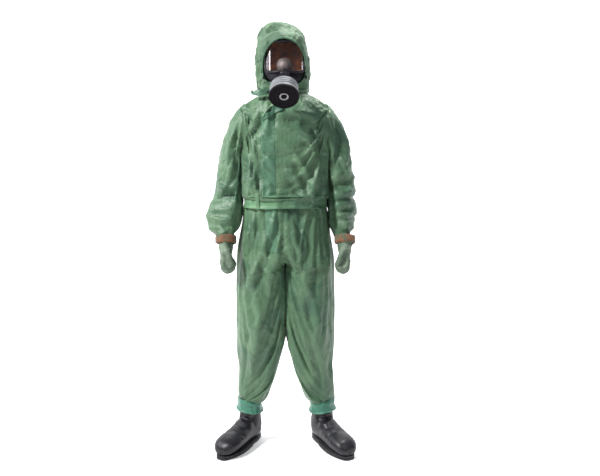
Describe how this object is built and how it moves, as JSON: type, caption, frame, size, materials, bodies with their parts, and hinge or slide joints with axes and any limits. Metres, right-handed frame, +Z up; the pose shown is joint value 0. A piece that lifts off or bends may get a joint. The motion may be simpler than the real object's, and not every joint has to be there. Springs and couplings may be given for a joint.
{
  "type": "chemical protective suit",
  "caption": "Hooded chemical protective suit with full-face respirator, screw-in filter canister, gloves and rubber boots, standing on its soles.",
  "frame": {"origin": "middle of the bounding box on the floor, between the boots", "axes": "+Z up, the suit faces -Y, +X to the wearer's left"},
  "size_m": [0.64, 0.411, 1.7985],
  "materials": {
    "coated_fabric": "satin",
    "dark_fabric": "matte",
    "hem_fabric": "satin",
    "band_elastic": "matte",
    "glove_rubber": "matte",
    "boot_rubber": "satin",
    "mask_rubber": "matte",
    "visor_clear": "gloss",
    "canister_metal": "satin",
    "cap_plastic": "matte",
    "silicone": "matte",
    "charcoal": "matte",
    "filter_paper": "matte"
  },
  "bodies": {
    "root": {"torso": "coated_fabric", "trouser_left": "coated_fabric", "trouser_right": "coated_fabric", "belt": "coated_fabric", "belt_keeper_front_left": "coated_fabric", "belt_keeper_front_right": "coated_fabric", "belt_keeper_back_left": "coated_fabric", "belt_keeper_back_right": "coated_fabric", "storm_flap_upper": "coated_fabric", "storm_flap_lower": "coated_fabric", "throat_tab": "dark_fabric", "throat_stud": "cap_plastic", "neck_collar": "dark_fabric", "sleeve_head_left": "coated_fabric", "sleeve_head_right": "coated_fabric", "ankle_hem_left": "hem_fabric", "ankle_hem_right": "hem_fabric", "boot_upper_left": "boot_rubber", "boot_upper_right": "boot_rubber", "boot_sole_left": "boot_rubber", "boot_sole_right": "boot_rubber", "insole_left": "dark_fabric", "insole_right": "dark_fabric"},
    "head": {"hood": "coated_fabric", "hood_rim": "dark_fabric", "facepiece": "mask_rubber", "visor": "visor_clear", "visor_frame": "mask_rubber", "nose_cup": "silicone", "inlet_socket": "cap_plastic", "inhalation_valve_seat": "cap_plastic", "exhalation_valve_seat": "cap_plastic", "exhalation_valve_cover": "cap_plastic", "harness_pad": "mask_rubber", "harness_strap_left": "mask_rubber", "harness_strap_right": "mask_rubber", "harness_buckle_left": "cap_plastic", "harness_buckle_right": "cap_plastic"},
    "inhalation_valve": {"inhalation_valve_disc": "silicone"},
    "exhalation_valve": {"exhalation_valve_disc": "silicone"},
    "filter_carrier": {"filter_gasket": "silicone"},
    "filter": {"filter_canister": "canister_metal", "canister_cap": "cap_plastic", "charcoal_bed": "charcoal", "particle_filter": "filter_paper"},
    "upper_arm_left": {"sleeve_upper_left": "coated_fabric", "sleeve_elbow_left": "coated_fabric"},
    "forearm_left": {"sleeve_lower_left": "coated_fabric", "wrist_band_left": "band_elastic"},
    "hand_left": {"glove_left": "glove_rubber"},
    "upper_arm_right": {"sleeve_upper_right": "coated_fabric", "sleeve_elbow_right": "coated_fabric"},
    "forearm_right": {"sleeve_lower_right": "coated_fabric", "wrist_band_right": "band_elastic"},
    "hand_right": {"glove_right": "glove_rubber"}
  },
  "joints": [
    {"name": "head_turn", "type": "hinge", "parent": "root", "child": "head", "pos_m": [0, 0.0715, 1.53], "axis": [0, 0, 1], "range_deg": [-35, 35], "deforming": ["neck_collar"]},
    {"name": "filter_travel", "type": "slide", "parent": "head", "child": "filter_carrier", "axis": [0, -0.7071, -0.7071], "range_m": [0, 0.0112]},
    {"name": "filter_turn", "type": "hinge", "parent": "filter_carrier", "child": "filter", "pos_m": [0, -0.0885, 1.562], "axis": [0, -0.7071, -0.7071], "range_deg": [0, 1080]},
    {"name": "inhalation_lift", "type": "slide", "parent": "head", "child": "inhalation_valve", "axis": [0, 0.7071, 0.7071], "range_m": [0, 0.002], "stiffness_N_per_m": 6},
    {"name": "exhalation_lift", "type": "slide", "parent": "head", "child": "exhalation_valve", "axis": [0, -0.1392, -0.9903], "range_m": [0, 0.002], "stiffness_N_per_m": 6},
    {"name": "shoulder_left", "type": "hinge", "parent": "root", "child": "upper_arm_left", "pos_m": [0.23, 0.0715, 1.375], "axis": [-1, 0, 0], "range_deg": [0, 90], "deforming": ["sleeve_head_left"]},
    {"name": "elbow_left", "type": "hinge", "parent": "upper_arm_left", "child": "forearm_left", "pos_m": [0.25, 0.0765, 1.065], "axis": [-1, 0, 0], "range_deg": [0, 90], "deforming": ["sleeve_elbow_left"]},
    {"name": "glove_off_left", "type": "slide", "parent": "forearm_left", "child": "hand_left", "axis": [-0.0075, -0.3011, -0.9536], "range_m": [0, 0.1]},
    {"name": "shoulder_right", "type": "hinge", "parent": "root", "child": "upper_arm_right", "pos_m": [-0.23, 0.0715, 1.375], "axis": [-1, 0, 0], "range_deg": [0, 90], "deforming": ["sleeve_head_right"]},
    {"name": "elbow_right", "type": "hinge", "parent": "upper_arm_right", "child": "forearm_right", "pos_m": [-0.25, 0.0765, 1.065], "axis": [-1, 0, 0], "range_deg": [0, 90], "deforming": ["sleeve_elbow_right"]},
    {"name": "glove_off_right", "type": "slide", "parent": "forearm_right", "child": "hand_right", "axis": [0.0075, -0.3011, -0.9536], "range_m": [0, 0.1]}
  ],
  "couplings": [
    {"joint": "filter_travel", "follows": "filter_turn", "m_per_rad": 0.000578}
  ]
}
